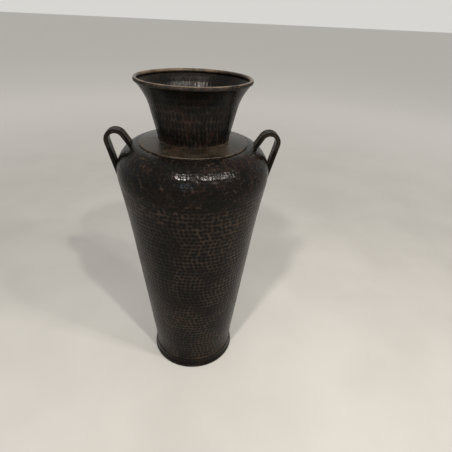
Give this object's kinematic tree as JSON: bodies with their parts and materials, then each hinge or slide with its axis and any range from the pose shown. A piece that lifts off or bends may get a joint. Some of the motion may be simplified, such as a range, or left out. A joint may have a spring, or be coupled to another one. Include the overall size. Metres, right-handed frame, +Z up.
{
  "type": "urn vase",
  "caption": "Tall hammered sheet-metal urn vase with a tapered body, round shoulder, stepped collar, trumpet neck with rolled rim, rolled foot and strap handles.",
  "frame": {"origin": "on the vase's axis, at the plane that the foot stands on", "axes": "+Z up along the vase's axis, handles along +X and -X, -Y towards the viewer"},
  "size_m": [0.4786, 0.4242, 0.915],
  "materials": {
    "body_patina": "hammered, dark oxidised copper",
    "collar_patina": "smooth, mottled brown patina",
    "neck_patina": "planished, dark patina",
    "foot_patina": "smooth, dark patina",
    "handle_patina": "ribbed, dark patina",
    "inside_patina": "dull, dark patina",
    "wire_iron": "drawn iron wire"
  },
  "bodies": {
    "root": {"foot_band": "foot_patina", "foot_wire": "wire_iron", "base_plate": "inside_patina", "body_wall": "body_patina", "shoulder": "body_patina", "collar": "collar_patina", "neck": "neck_patina", "rim_wire": "wire_iron", "handle_left": "handle_patina", "handle_right": "handle_patina"}
  },
  "joints": []
}
